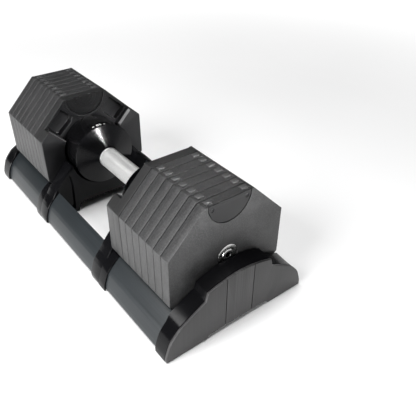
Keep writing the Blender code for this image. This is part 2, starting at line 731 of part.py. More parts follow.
def helix_cutter(side):
    """Bar swept along the path that a follower pin takes in the turning sleeve."""
    steps = HELIX_STEPS
    sweep = TWIST + 2 * HELIX_SPARE
    lead = ROD_TRAVEL / TWIST
    start = math.radians(90 * side) + HELIX_SPARE
    start_x = side * (PIN_X - lead * HELIX_SPARE)
    shape = bmesh.new()
    radial = Vector((0, math.cos(start), math.sin(start)))
    corners = []
    low, high = HELIX_R
    for x, radius in ((-1, low), (1, low), (1, high), (-1, high)):
        along = Vector((start_x + x * HELIX_HALF, 0, 0))
        corners.append(shape.verts.new(radial * radius + along))
    face = shape.faces.new(corners)
    bmesh.ops.spin(shape, geom=[face, *face.edges, *face.verts], cent=(0, 0, 0), axis=(1, 0, 0),
                   dvec=(side * lead * sweep / steps, 0, 0), angle=-sweep, steps=steps,
                   use_merge=False, use_duplicate=False)
    bmesh.ops.recalc_face_normals(shape, faces=shape.faces)
    mesh = bpy.data.meshes.new("helix")
    shape.to_mesh(mesh)
    shape.free()
    return add_object("helix", mesh, Matrix.Translation((0, 0, AXIS_Z)))


def make_drive_sleeve():
    """Turns with the grip; its two helical slots drive the follower pins apart."""
    reach = HOUSING_BACK_X - 0.0038
    sleeve = ring("drive_sleeve", -reach, reach, CORE_R + GAP, SLEEVE_R, STEEL, SMALL_STEPS)
    cut(sleeve, helix_cutter(1), helix_cutter(-1))


ROD_CHAMFER = 0.001
PIN_DEPTH = (0.003, 0.0139)         # a pin's seat in the rod and its tip, from the axis


def make_selector_rods():
    """Rods that slide out to catch plates; the near pin points up, the far pin down."""
    for side, name in ((1, "near"), (-1, "far")):
        inner_x = side * (ROD_TIP_X - ROD_LENGTH)
        tip_x = side * ROD_TIP_X
        bar = rod("selector_rod_" + name, (inner_x, 0, AXIS_Z), (tip_x, 0, AXIS_Z), ROD_R,
                  STEEL, ROUND_STEPS)
        bevel(bar, ROD_CHAMFER, angle=60)
        pin_x = side * PIN_X
        low, high = AXIS_Z + side * PIN_DEPTH[0], AXIS_Z + side * PIN_DEPTH[1]
        open_z = AXIS_Z + side * 0.012
        cut(bar, rod("pin_hole", (pin_x, 0, low), (pin_x, 0, open_z), PIN_R + GAP, steps=SCREW_STEPS))
        rod("follower_pin_" + name, (pin_x, 0, low + side * GAP), (pin_x, 0, high), PIN_R,
            STEEL, SCREW_STEPS)


make_rails()
make_tray()
make_end_cap()
make_feet()
make_release_post()
make_plates()
make_end_fittings()
make_housing()
make_core_tube()
make_lock_spring()
make_lock_slide()
make_grip()
make_drive_sleeve()
make_selector_rods()
for piece in PARTS.objects:
    shade(piece)
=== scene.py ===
"""Looks of the adjustable dumbbell in its cradle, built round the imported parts.

Shapes are drawn in millimetres and brought to metres when they are placed. A shape is drawn for
the near (+X) side, and the far one is the same shape turned half a turn about Z.
"""

import math

import bmesh
import bpy
from mathutils import Matrix, Vector


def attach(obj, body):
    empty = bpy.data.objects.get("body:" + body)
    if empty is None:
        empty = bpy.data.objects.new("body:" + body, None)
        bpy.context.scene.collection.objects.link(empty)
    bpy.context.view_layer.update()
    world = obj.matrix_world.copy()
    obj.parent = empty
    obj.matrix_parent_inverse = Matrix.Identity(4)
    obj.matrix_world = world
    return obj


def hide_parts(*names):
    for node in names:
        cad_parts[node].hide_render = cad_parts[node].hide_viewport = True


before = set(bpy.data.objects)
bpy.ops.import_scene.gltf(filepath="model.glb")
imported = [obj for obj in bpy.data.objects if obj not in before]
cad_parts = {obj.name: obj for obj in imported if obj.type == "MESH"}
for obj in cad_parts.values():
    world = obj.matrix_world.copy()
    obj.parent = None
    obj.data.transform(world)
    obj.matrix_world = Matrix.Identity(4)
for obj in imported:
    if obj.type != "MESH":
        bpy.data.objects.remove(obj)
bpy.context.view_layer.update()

# Sizes, in millimetres --------------------------------------------------------------------
AXIS_Z = 93.4
PLATE_HALF = 86.0
PLATE_TOP = 176.0            # the tongues stand a little above it
TONGUE_TOP = 176.78
PLATE_BOTTOM = 9.0
SHOULDER_Z = 125.5
HIP_Z = 56.6
TOP_HALF = PLATE_HALF - (PLATE_TOP - SHOULDER_Z)
BOTTOM_HALF = PLATE_HALF - (HIP_Z - PLATE_BOTTOM)
PITCH = 15.2
PLATE_THICK = 14.6
PLATE_COUNT = 7
EAR_X = 99.6
HOUSING_X = 115.2
HOUSING_BACK_X = 129.8
STACK_X = 130.4
END_X = 236.2
WALL_X = 75.2
WALL_END_X = 98.4
BAND_END_X = 113.4
LEDGE_X = 237.4
CAP_X = 258.7
CAP_END_X = 262.2
RAIL_END_X = 258.1
GRIP_R = 16.05
BORE_R = 11.5
SOCKET_R = 3.6               # to the corners of the hexagon in an end bolt
TINY = 1e-4
SHARP = math.radians(24)     # edges turned more than this are drawn sharp


# Outlines, as (y, z) points ---------------------------------------------------------------
def arc(centre, radius, start, end, count):
    """Points on an arc, angles in degrees from +Y towards +Z."""
    points = []
    for step in range(count + 1):
        angle = math.radians(start + (end - start) * step / count)
        points.append((centre[0] + radius * math.cos(angle), centre[1] + radius * math.sin(angle)))
    return points


def circle(radius, count=96, centre=(0, AXIS_Z)):
    return arc(centre, radius, 0.7, 360.7, count)[:-1]


def mirrored(half):
    """A half outline from the bottom up at +Y, closed with its mirror image."""
    return half + [(-y, z) for y, z in reversed(half) if abs(y) > TINY]


def across(outline, side):
    """The outline on the +Y or the -Y side."""
    return [(side * y, z) for y, z in outline]


def turn_sense(loop):
    return sum(a[0] * b[1] - b[0] * a[1] for a, b in zip(loop, loop[1:] + loop[:1]))


def grown(loop, distance):
    """A closed outline moved outwards by distance, or inwards where it is negative."""
    side = distance if turn_sense(loop) > 0 else -distance
    moved = []
    for before, here, after in zip(loop[-1:] + loop[:-1], loop, loop[1:] + loop[:1]):
        first = Vector((here[0] - before[0], here[1] - before[1])).normalized()
        second = Vector((after[0] - here[0], after[1] - here[1])).normalized()
        out_first = Vector((first.y, -first.x))
        out_second = Vector((second.y, -second.x))
        mitre = (out_first + out_second) / max(0.35, 1 + out_first.dot(out_second))
        moved.append((here[0] + side * mitre.x, here[1] + side * mitre.y))
    return moved


def softened(loop, radius, steps=3):
    """A closed outline with its corners rounded."""
    points = []
    for before, here, after in zip(loop[-1:] + loop[:-1], loop, loop[1:] + loop[:1]):
        corner = Vector(here)
        back = Vector(before) - corner
        ahead = Vector(after) - corner
        turn = math.pi - back.angle(ahead)
        if turn < math.radians(4):
            points.append(here)
            continue
        reach = min(radius * math.tan(turn / 2), back.length * 0.42, ahead.length * 0.42)
        start, end = corner + back.normalized() * reach, corner + ahead.normalized() * reach
        for step in range(steps + 1):
            along = step / steps
            spot = start * (1 - along) ** 2 + corner * 2 * along * (1 - along) + end * along ** 2
            points.append((spot.x, spot.y))
    return points


OCTAGON = softened(mirrored([(BOTTOM_HALF, PLATE_BOTTOM), (PLATE_HALF, HIP_Z),
                             (PLATE_HALF, SHOULDER_Z), (TOP_HALF, PLATE_TOP)]), 1.6)
DIAGONAL = math.sqrt(0.5)
SLOPE_TOP = (35.3, 176.2)    # where runs down the upper +Y slope are measured from
EAR_ALONG = 51.0             # run down the slope to a housing's ear


def on_slope(along, inward):
    """A point given by its run down the upper +Y slope and its depth under it."""
    y, z = SLOPE_TOP
    return y + (along - inward) * DIAGONAL, z - (along + inward) * DIAGONAL


# Solids -----------------------------------------------------------------------------------
def outline(shape, points, x):
    """Corners joined in a closed loop at one x."""
    corners = [shape.verts.new((x, y, z)) for y, z in points]
    return [shape.edges.new(pair) for pair in zip(corners, corners[1:] + corners[:1])]


def skin(shape, rings):
    """Walls through a row of outlines with the same number of corners."""
    for first, second in zip(rings, rings[1:]):
        bmesh.ops.bridge_loops(shape, edges=first + second)


def cap(shape, edges):
    """Fill between the closed loops in a list of edges, which lie at one x."""
    bmesh.ops.triangle_fill(shape, use_beauty=True, use_dissolve=False, edges=edges,
                            normal=(1, 0, 0))


def quarter(radius, steps=3):
    """(depth, inset) pairs down a rounded edge."""
    if radius <= 0:
        return [(0.0, 0.0)]
    turns = [math.pi / 2 * step / steps for step in range(steps + 1)]
    return [(radius * (1 - math.cos(turn)), radius * (1 - math.sin(turn))) for turn in turns]


class Slab:
    """An outline run along X with rounded rims, holes and pockets."""

    def __init__(self, loop, x_low, x_high, edge=0.8, edge_high=None):
        self.x = {"low": x_low, "high": x_high}
        self.shape = bmesh.new()
        self.rims = {"low": [], "high": []}
        edge_high = edge if edge_high is None else edge_high
        steps = [(x_low + depth, inset) for depth, inset in quarter(edge)]
        steps += [(x_high - depth, inset) for depth, inset in reversed(quarter(edge_high))]
        rings = [outline(self.shape, grown(loop, -inset), x) for x, inset in steps]
        skin(self.shape, rings)
        self.rims["low"].append(rings[0])
        self.rims["high"].append(rings[-1])

    def through(self, loop, edge=0.5):
        """A hole from face to face."""
        steps = [(self.x["low"] + depth, inset) for depth, inset in quarter(edge)]
        steps += [(self.x["high"] - depth, inset) for depth, inset in reversed(quarter(edge))]
        rings = [outline(self.shape, grown(loop, inset), x) for x, inset in steps]
        skin(self.shape, rings)
        self.rims["low"].append(rings[0])
        self.rims["high"].append(rings[-1])
        return self

    def pocket(self, loop, depth, face="low", edge=0.5, hole=None):
        """A recess in one face, with a hole on through its floor where one is given."""
        sign = 1 if face == "low" else -1
        mouth = self.x[face]
        steps = [(mouth + sign * down, inset) for down, inset in quarter(edge)]
        rise = reversed(quarter(edge))
        steps += [(mouth + sign * (depth - down), -inset) for down, inset in rise]
        rings = [outline(self.shape, grown(loop, inset), x) for x, inset in steps]
        skin(self.shape, rings)
        self.rims[face].append(rings[0])
        floor = list(rings[-1])
        if hole:
            other = "high" if face == "low" else "low"
            inner = [outline(self.shape, hole, x) for x in (mouth + sign * depth, self.x[other])]
            skin(self.shape, inner)
            floor += inner[0]
            self.rims[other].append(inner[-1])
        cap(self.shape, floor)
        return self

    def solid(self):
        for rims in self.rims.values():
            cap(self.shape, [edge for rim in rims for edge in rim])
        return self.shape


def lofted(sections):
    """A solid through outlines at several x, each a (x, loop) pair."""
    shape = bmesh.new()
    rings = [outline(shape, loop, x) for x, loop in sections]
    skin(shape, rings)
    cap(shape, rings[0])
    cap(shape, rings[-1])
    return shape


def turned(profile, steps=96, centre=(0, 0, AXIS_Z)):
    """A closed profile of (x, radius) points spun about an axis along X."""
    shape = bmesh.new()
    corners = [shape.verts.new((x + centre[0], centre[1], centre[2] + radius))
               for x, radius in profile]
    edges = [shape.edges.new(pair) for pair in zip(corners, corners[1:] + corners[:1])]
    bmesh.ops.spin(shape, geom=corners + edges, cent=centre, axis=(1, 0, 0), dvec=(0, 0, 0),
                   angle=2 * math.pi, steps=steps, use_merge=True, use_duplicate=False)
    return shape


def rounded_box(x, y, z, edge=0.4, segments=2):
    """A box between pairs of limits, its edges rounded unless edge is 0."""
    shape = bmesh.new()
    bmesh.ops.create_cube(shape, size=1)
    bmesh.ops.scale(shape, verts=shape.verts, vec=(x[1] - x[0], y[1] - y[0], z[1] - z[0]))
    bmesh.ops.translate(shape, verts=shape.verts, vec=(sum(x) / 2, sum(y) / 2, sum(z) / 2))
    if edge:
        bmesh.ops.bevel(shape, geom=list(shape.edges), offset=edge, offset_type="OFFSET",
                        segments=segments, profile=0.5, affect="EDGES", material=-1)
    return shape


def combined(work, tool, operation="DIFFERENCE"):
    """One solid cut by, or joined with, another. Both are used up."""
    pair = []
    for label, shape in (("work", work), ("tool", tool)):
        bmesh.ops.remove_doubles(shape, verts=shape.verts, dist=TINY)
        bmesh.ops.recalc_face_normals(shape, faces=shape.faces)
        mesh = bpy.data.meshes.new(label)
        shape.to_mesh(mesh)
        shape.free()
        obj = bpy.data.objects.new(label, mesh)
        bpy.context.scene.collection.objects.link(obj)
        pair.append(obj)
    change = pair[0].modifiers.new("cut", "BOOLEAN")
    change.operation = operation
    change.solver = "EXACT"
    change.object = pair[1]
    bpy.context.view_layer.update()
    result = bmesh.new()
    result.from_object(pair[0], bpy.context.evaluated_depsgraph_get())
    bmesh.ops.remove_doubles(result, verts=result.verts, dist=TINY)
    for obj in pair:
        mesh = obj.data
        bpy.data.objects.remove(obj, do_unlink=True)
        bpy.data.meshes.remove(mesh)
    return result


def cut(work, *tools):
    for tool in tools:
        work = combined(work, tool)
    return work


def joined(work, *tools):
    for tool in tools:
        work = combined(work, tool, "UNION")
    return work


def beside(*shapes):
    """Several separate solids as one shape."""
    whole = bmesh.new()
    for shape in shapes:
        mesh = bpy.data.meshes.new("beside")
        shape.to_mesh(mesh)
        shape.free()
        whole.from_mesh(mesh)
        bpy.data.meshes.remove(mesh)
    return whole


def moved(shape, x):
    """A copy further along X."""
    other = shape.copy()
    bmesh.ops.translate(other, verts=other.verts, vec=(x, 0, 0))
    return other


def half_turn(shape):
    """A copy turned half a turn about Z."""
    other = shape.copy()
    turn = Matrix.Rotation(math.pi, 3, "Z")
    bmesh.ops.rotate(other, verts=other.verts, cent=(0, 0, 0), matrix=turn)
    return other


# Placing ----------------------------------------------------------------------------------
def place(shape, name, body, finish, nodes=()):
    """Make a piece of the shape, which is used up."""
    bmesh.ops.remove_doubles(shape, verts=shape.verts, dist=TINY)
    bmesh.ops.recalc_face_normals(shape, faces=shape.faces)
    bmesh.ops.scale(shape, verts=shape.verts, vec=(0.001, 0.001, 0.001))
    mesh = bpy.data.meshes.new(name)
    shape.to_mesh(mesh)
    shape.free()
    mesh.materials.append(finish)
    mesh.shade_smooth()
    mesh.set_sharp_from_angle(angle=SHARP)
    piece = bpy.data.objects.new(name, mesh)
    bpy.context.scene.collection.objects.link(piece)
    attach(piece, body)
    if nodes:
        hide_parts(*nodes)


def place_pair(shape, name, body, finish, nodes=()):
    """A near and a far piece. A * in the names stands for the side."""
    for side, made in (("near", shape.copy()), ("far", half_turn(shape))):
        place(made, name.replace("*", side), body.replace("*", side), finish,
              [node.replace("*", side) for node in nodes])
    shape.free()


# Finishes ---------------------------------------------------------------------------------
class Wire:
    """A socket's output that can be used in sums."""

    def __init__(self, finish, socket):
        self.finish = finish
        self.socket = socket

    def sum(self, operation, *others):
        values = dict(enumerate((self,) + others))
        return self.finish.node("ShaderNodeMath", {"operation": operation}, values)

    def __add__(self, other):
        return self.sum("ADD", other)

    def __radd__(self, other):
        return self.sum("ADD", other)

    def __sub__(self, other):
        return self.sum("SUBTRACT", other)

    def __rsub__(self, other):
        return (self * -1.0).sum("ADD", other)

    def __mul__(self, other):
        return self.sum("MULTIPLY", other)

    def __rmul__(self, other):
        return self.sum("MULTIPLY", other)

    def __pow__(self, other):
        return self.sum("POWER", other)

    def clamped(self):
        return self.sum("MAXIMUM", 0.0).sum("MINIMUM", 1.0)

    def step(self, low, high):
        """0 below low and 1 above high, smooth between."""
        settings = {"interpolation_type": "SMOOTHSTEP"}
        values = {"Value": self, "From Min": low, "From Max": high, "To Min": 0.0, "To Max": 1.0}
        return self.finish.node("ShaderNodeMapRange", settings, values)


class Finish:
    """A material built node by node round one Principled shader."""

    def __init__(self, name, colour, roughness, metallic=0.0, **constants):
        self.material = bpy.data.materials.new(name)
        self.material.use_nodes = True
        self.tree = self.material.node_tree
        self.shader = self.tree.nodes["Principled BSDF"]
        self.shader.inputs["Base Color"].default_value = (*colour, 1)
        self.shader.inputs["Roughness"].default_value = roughness
        self.shader.inputs["Metallic"].default_value = metallic
        for socket, value in constants.items():
            self.shader.inputs[socket.replace("_", " ")].default_value = value

    def node(self, kind, settings=None, values=None, output=0):
        made = self.tree.nodes.new(kind)
        for name, value in (settings or {}).items():
            setattr(made, name, value)
        for name, value in (values or {}).items():
            self.feed(made.inputs[name], value)
        return Wire(self, made.outputs[output])

    def feed(self, socket, value):
        if isinstance(value, Wire):
            self.tree.links.new(value.socket, socket)
        else:
            socket.default_value = value

    def place(self):
        """Object coordinates, in metres."""
        return self.node("ShaderNodeTexCoord", output="Object")

    def axes(self):
        """X, Y and Z as separate wires."""
        split = self.node("ShaderNodeSeparateXYZ", values={"Vector": self.place()}).socket.node
        return [Wire(self, socket) for socket in split.outputs]

    def stretched(self, scale):
        return self.node("ShaderNodeMapping", values={"Vector": self.place(), "Scale": scale})

    def noise(self, scale, detail=2.0, rough=0.5, vector=None):
        values = {"Vector": vector or self.place(), "Scale": scale, "Detail": detail,
                  "Roughness": rough}
        return self.node("ShaderNodeTexNoise", values=values)

    def blend(self, mask, low, high):
        """One colour at mask 0 and another at mask 1."""
        made = self.tree.nodes.new("ShaderNodeMix")
        made.data_type = "RGBA"
        self.feed(made.inputs[0], mask)
        for socket, value in ((made.inputs[6], low), (made.inputs[7], high)):
            self.feed(socket, value if isinstance(value, Wire) else (*value, 1))
        return Wire(self, made.outputs[2])

    def colour(self, value):
        self.feed(self.shader.inputs["Base Color"], value)

    def roughness(self, value):
        self.feed(self.shader.inputs["Roughness"], value)

    def bump(self, height, distance, strength=1.0):
        """Distance is in metres for a height of 1."""
        values = {"Height": height, "Distance": distance, "Strength": strength}
        made = self.node("ShaderNodeBump", values=values)
        self.feed(self.shader.inputs["Normal"], made)


def radius_wire(finish):
    """Distance from the grip's axis, in metres."""
    _, y, z = finish.axes()
    up = z - AXIS_Z / 1000
    return (y * y + up * up) ** 0.5


def plate_coat():
    """Hard textured coating on cast weights, brushed down their edges, with a painted highlight on
    the tops of the tongues.
    """
    finish = Finish("plate_coat", (0.02, 0.02, 0.021), 0.5, Specular_IOR_Level=0.6)
    grain = finish.noise(1500.0, 3.0, 0.6)
    mottle = finish.noise(520.0, 3.0, 0.7)
    brushed = finish.noise(1.0, 3.0, 0.6, finish.stretched((950.0, 45.0, 45.0)))
    cloud = finish.noise(28.0, 3.0, 0.55)
    _, _, height = finish.axes()
    # painted highlight: the tongue tops, above the plates' top face, are coloured lighter
    tongue_top_highlight = height.step((PLATE_TOP + 0.15) / 1000, (PLATE_TOP + 0.5) / 1000)
    tone = finish.blend(cloud.step(0.3, 0.7), (0.006, 0.006, 0.0063), (0.012, 0.012, 0.0123))
    tone = finish.blend(mottle.step(0.44, 0.62) * 0.6, tone, (0.045, 0.045, 0.046))
    tone = finish.blend(brushed.step(0.45, 0.7) * 0.5, tone, (0.04, 0.04, 0.0405))
    finish.colour(finish.blend(tongue_top_highlight * 0.8, tone, (0.052, 0.052, 0.053)))
    finish.roughness(0.34 + grain * 0.16 + mottle * 0.1)
    finish.bump(grain * 0.4 + mottle * 0.8 + brushed * 0.3, 0.0002, 0.75)
    return finish.material


def scuffs_and_ear_highlight(finish):
    """Masks and greys for a housing's scuffed outside, and a painted highlight down its ears' cut
    ends.
    """
    x, y, z = finish.axes()
    side = y.sum("ABSOLUTE")
    slant = (side + z - (PLATE_HALF + SHOULDER_Z) / 1000) * DIAGONAL
    flat = side.step((PLATE_HALF - 0.7) / 1000, (PLATE_HALF - 0.4) / 1000)
    top = z.step((PLATE_TOP - 0.7) / 1000, (PLATE_TOP - 0.4) / 1000)
    outside = (slant.step(-0.0007, -0.0004) + flat + top).clamped()
    # painted highlight: a thin light line down each ear's cut end, on the ear's front part only
    run = (side - z + (SLOPE_TOP[1] - SLOPE_TOP[0]) / 1000) * DIAGONAL
    ear_end_highlight = 1.0 - ((run - EAR_ALONG / 1000).sum("ABSOLUTE")).step(0.0002, 0.0006)
    front = 1.0 - x.sum("ABSOLUTE").step(0.1065, 0.107)
    return (outside, (0.018, 0.018, 0.0182)), (ear_end_highlight * front, (0.16, 0.16, 0.162))


def moulded(name, colour, roughness, grain_scale=900.0, depth=0.00005, gloss=False, shine=0.4,
            scuffs_and_highlights=None):
    """Moulded plastic with a fine grain, or a polished one with a little waviness."""
    finish = Finish(name, colour, roughness, Specular_IOR_Level=shine)
    grain = finish.noise(grain_scale, 2.0, 0.55)
    cloud = finish.noise(14.0, 2.0)
    lighter = tuple(channel * 1.5 + 0.0008 for channel in colour)
    tone = finish.blend(cloud.step(0.3, 0.75), colour, lighter)
    scuffs = finish.noise(1.0, 4.0, 0.7, finish.stretched((60.0, 420.0, 420.0))).step(0.56, 0.8)
    # masked greys over the tone; on the housing, its scuffed outside and a painted highlight down
    # the ears' cut ends
    for mask, grey in scuffs_and_highlights(finish) if scuffs_and_highlights else ():
        tone = finish.blend(mask, tone, grey)
    finish.colour(tone)
    if gloss:
        finish.roughness(roughness + cloud * 0.05 + scuffs * 0.08)
    else:
        finish.roughness(roughness - 0.05 + grain * 0.12 + cloud * 0.05)
    finish.bump(grain, depth, 0.4)
    return finish.material


def turned_gloss():
    """Lathe-turned black collar with concentric tool marks under a gloss lacquer."""
    finish = Finish("cone_lacquer", (0.003, 0.003, 0.0032), 0.15, 0.0, Specular_IOR_Level=0.17)
    radius = radius_wire(finish)
    marks = (radius * 9000.0).sum("SINE") * 0.5 + 0.5
    cloud = finish.noise(60.0, 3.0)
    finish.colour(finish.blend(marks * 0.5 + cloud * 0.3, (0.0015, 0.0015, 0.0017),
                               (0.004, 0.004, 0.0045)))
    finish.roughness(0.11 + cloud * 0.06 + marks * 0.03)
    finish.bump(marks, 0.000008, 0.3)
    return finish.material


def knurled_steel():
    """Bright plated knurling, darker in its grooves."""
    finish = Finish("knurled_steel", (0.8, 0.8, 0.79), 0.34, 1.0)
    radius = radius_wire(finish)
    crest = radius.step((GRIP_R - 0.4) / 1000, (GRIP_R - 0.08) / 1000)
    cloud = finish.noise(45.0, 3.0)
    tone = finish.blend(crest, (0.2, 0.2, 0.198), (0.66, 0.66, 0.655))
    finish.colour(finish.blend(cloud.step(0.35, 0.8) * 0.25, tone, (0.5, 0.5, 0.495)))
    finish.roughness(0.5 - crest * 0.06 + cloud * 0.08)
    finish.bump(finish.noise(2200.0, 2.0), 0.00003, 0.4)
    return finish.material


def turned_steel(name="turned_steel", colour=(0.62, 0.62, 0.61), roughness=0.26, socket=0.0):
    """Machined steel with fine tool marks round the grip's axis, and painted shade, near black,
    within a socket.
    """
    finish = Finish(name, colour, roughness, 1.0)
    radius = radius_wire(finish)
    marks = (radius * 12000.0).sum("SINE") * 0.5 + 0.5
    cloud = finish.noise(90.0, 3.0)
    dark = tuple(channel * 0.72 for channel in colour)
    tone = finish.blend(cloud.step(0.3, 0.75), dark, colour)
    if socket:
        # painted shade: the inside of a hex socket is coloured near black
        socket_shade = 1.0 - radius.step((socket - 0.1) / 1000, (socket + 0.1) / 1000)
        tone = finish.blend(socket_shade, tone, (0.008, 0.008, 0.008))
    finish.colour(tone)
    finish.roughness(roughness - 0.04 + cloud * 0.12 + marks * 0.04)
    finish.bump(marks + cloud, 0.000012, 0.4)
    return finish.material


def rail_skin():
    """Blue-grey anodised rail with drawing lines along it."""
    finish = Finish("rail_anodised", (0.012, 0.0145, 0.016), 0.34, Specular_IOR_Level=0.32)
    lines = finish.noise(1.0, 4.0, 0.65, finish.stretched((6.0, 900.0, 900.0)))
    cloud = finish.noise(9.0, 2.0)
    grain = finish.noise(1600.0, 2.0)
    tone = finish.blend(lines.step(0.3, 0.7), (0.009, 0.011, 0.0125), (0.015, 0.018, 0.02))
    finish.colour(finish.blend(cloud.step(0.3, 0.8) * 0.3, tone, (0.023, 0.027, 0.03)))
    finish.roughness(0.3 + lines * 0.1 + cloud * 0.05)
    finish.bump(lines * 0.7 + grain * 0.3, 0.00003, 0.35)
    return finish.material


def cap_skin():
    """Satin end cap, faintly streaked up and down its middle panel."""
    finish = Finish("cap_satin", (0.03, 0.029, 0.03), 0.4, Specular_IOR_Level=0.5)
    streaks = finish.noise(1.0, 3.0, 0.6, finish.stretched((1.0, 520.0, 3.0)))
    _, y, _ = finish.axes()
    middle = 1.0 - y.sum("ABSOLUTE").step(0.0205, 0.0225)
    panel = streaks.step(0.4, 0.66) * (middle * 0.55 + 0.25)
    grain = finish.noise(1300.0, 2.0)
    finish.colour(finish.blend(panel, (0.019, 0.0183, 0.019), (0.05, 0.0489, 0.05)))
    finish.roughness(0.36 + grain * 0.1 + panel * 0.08)
    finish.bump(grain * 0.6 + streaks * 0.4, 0.00004, 0.4)
    return finish.material


def rubber():
    finish = Finish("foot_rubber", (0.02, 0.02, 0.02), 0.85)
    grain = finish.noise(1100.0, 4.0, 0.7)
    finish.colour(finish.blend(grain.step(0.35, 0.7), (0.014, 0.014, 0.014), (0.034, 0.033, 0.032)))
    finish.roughness(0.78 + grain * 0.15)
    finish.bump(grain, 0.0001, 0.6)
    return finish.material


def dial_print():
    finish = Finish("dial_print", (0.85, 0.85, 0.84), 0.45)
    patches = finish.noise(700.0, 3.0)
    finish.colour(finish.blend(patches.step(0.3, 0.6), (0.62, 0.62, 0.61), (0.9, 0.9, 0.89)))
    finish.roughness(0.4 + patches * 0.15)
    return finish.material


def floor_paint():
    """Pale floor that stays pale where the lamps no longer reach."""
    finish = Finish("pale_floor", (0.9, 0.9, 0.9), 0.6, Emission_Strength=1.0)
    cloud = finish.noise(1.5, 2.0)
    finish.colour(finish.blend(cloud.step(0.3, 0.7), (0.88, 0.88, 0.88), (0.91, 0.91, 0.91)))
    x, y, _ = finish.axes()
    distance = ((x * x + y * y) ** 0.5).step(0.45, 1.9)
    glow = finish.blend(distance, (0.0, 0.0, 0.0), (0.8, 0.8, 0.8))
    finish.feed(finish.shader.inputs["Emission Color"], glow)
    return finish.material


PLATE_COAT = plate_coat()
# housing black with a scuffed outside and a painted highlight down the ears' cut ends
HOUSING_BLACK = moulded("housing_black", (0.003, 0.003, 0.0034), 0.32, shine=0.3, scuffs_and_highlights=scuffs_and_ear_highlight)
BADGE_BLACK = moulded("badge_black", (0.006, 0.006, 0.0064), 0.4, 1200.0, shine=0.35)
# painted shade: a darker, less shiny copy of the badge black for the top covers, which sit in shade
SHADED_COVER_BLACK = moulded("cover_black_shaded", (0.003, 0.003, 0.0032), 0.36, 1200.0, shine=0.18)
TRAY_GLOSS = moulded("tray_gloss", (0.002, 0.002, 0.0024), 0.15, 350.0, 0.00003, gloss=True,
                     shine=0.13)
DARK_PLASTIC = moulded("inner_black", (0.002, 0.002, 0.0022), 0.5)
DRUM_GLOSS = moulded("drum_gloss", (0.0015, 0.0015, 0.0017), 0.16, 420.0, 0.00002, gloss=True,
                     shine=0.3)
CONE_LACQUER = turned_gloss()
KNURLED = knurled_steel()
# bolt steel, with painted shade within its hex socket
BRIGHT_STEEL = turned_steel("bright_steel", (0.72, 0.72, 0.71), 0.22, socket=SOCKET_R + 0.05)
TURNED_STEEL = turned_steel()
BLACK_STEEL = turned_steel("black_steel", (0.07, 0.07, 0.072), 0.4)
SPRING_WIRE = turned_steel("spring_wire", (0.4, 0.4, 0.41), 0.35)
RAIL_SKIN = rail_skin()
CAP_SKIN = cap_skin()
RUBBER = rubber()
DIAL_PRINT = dial_print()


# Weight plates ----------------------------------------------------------------------------
TONGUE_Y = (21.5, 30.6)
TONGUE_X = (2.6, 8.8)        # from the plate's grip side
GROOVE_X = (8.8, 12.8)
GROOVE_DEPTH = 1.3
PLATE_EDGE = 0.8
SCREW_Y = 25.3
SCREW_Z = 169.0


def with_tongues(shape, x_low):
    """A tongue and a groove near each end of the top face."""
    for side in (1, -1):
        y = sorted((side * TONGUE_Y[0], side * TONGUE_Y[1]))
        low, high = x_low + GROOVE_X[0], x_low + GROOVE_X[1]
        groove = rounded_box((low, high), y, (PLATE_TOP - GROOVE_DEPTH, PLATE_TOP + 3), 0.3)
        shape = cut(shape, groove)
        low, high = x_low + TONGUE_X[0], x_low + TONGUE_X[1]
        shape = joined(shape, rounded_box((low, high), y, (PLATE_TOP - 2, TONGUE_TOP), 0.35))
    return shape


def half_disc(radius, above=0.0, below=0.0, count=56):
    """A half disc hanging from the top edge, raised above it or cut off below it."""
    top = PLATE_TOP - below
    start = math.degrees(math.asin(below / radius))
    loop = arc((0, PLATE_TOP), radius, 180 + start, 360 - start, count)
    if above:
        loop += [(radius, top + above), (-radius, top + above)]
    return loop


def weight_plates():
    """Six plain plates at each end, and a seventh with seats for its bolt and cover."""
    plain = Slab(OCTAGON, STACK_X, STACK_X + PLATE_THICK, PLATE_EDGE)
    plain = with_tongues(plain.through(circle(BORE_R, 64)).solid(), STACK_X)
    for index in range(PLATE_COUNT - 1):
        name = "plate_*_%d" % (index + 1)
        place_pair(moved(plain, index * PITCH), name + "_weight", name, PLATE_COAT,
                   [name])
    plain.free()
    last_x = STACK_X + (PLATE_COUNT - 1) * PITCH
    slab = Slab(OCTAGON, last_x, END_X, PLATE_EDGE)
    slab.pocket(circle(15.2, 80), 3.2, "high", 0.4, hole=circle(13.6, 80))
    last = with_tongues(slab.solid(), last_x)
    seat = Slab(half_disc(32.2, above=3), END_X - 1.8, END_X + 1, 0, 0).solid()
    place_pair(cut(last, seat), "plate_*_7_weight", "plate_*_7", PLATE_COAT,
               ["plate_*_7"])


